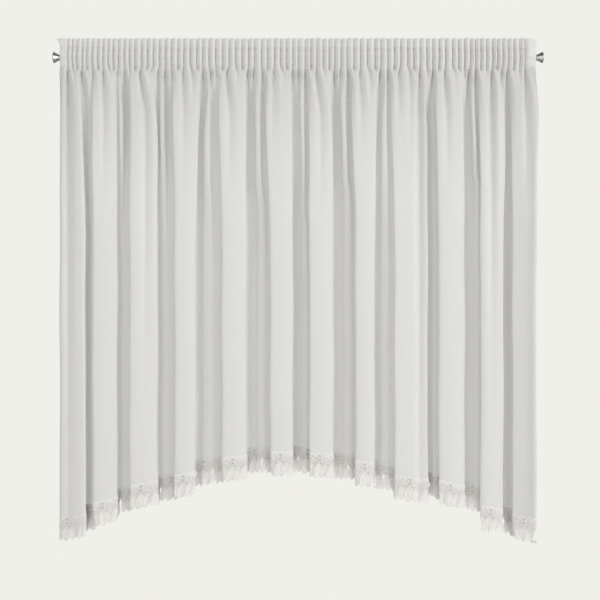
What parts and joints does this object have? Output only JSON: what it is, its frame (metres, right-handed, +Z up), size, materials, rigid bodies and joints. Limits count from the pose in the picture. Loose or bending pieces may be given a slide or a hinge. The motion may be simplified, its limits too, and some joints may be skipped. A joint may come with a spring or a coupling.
{
  "type": "sheer curtain on a rod",
  "caption": "Sheer voile curtain gathered by a pencil-pleat heading on a slim rod with trumpet ends, hanging in soft folds to an arched hem edged with petal lace.",
  "frame": {"origin": "middle of the rod, on its axis", "axes": "+X along the rod to the right seen from the room, +Y away from the room towards the window, +Z up"},
  "size_m": [1.566, 0.0897, 1.6],
  "materials": {
    "voile": "fine sheer plain weave, matt, off-white",
    "tape": "woven gathering tape, matt, off-white",
    "lace": "thick embroidered lace, matt, white",
    "nickel": "polished nickel"
  },
  "bodies": {
    "root": {"voile_panel": "voile", "heading_tape": "tape", "lace_edge": "lace", "rod": "nickel", "finial_left": "nickel", "finial_right": "nickel"}
  },
  "joints": []
}
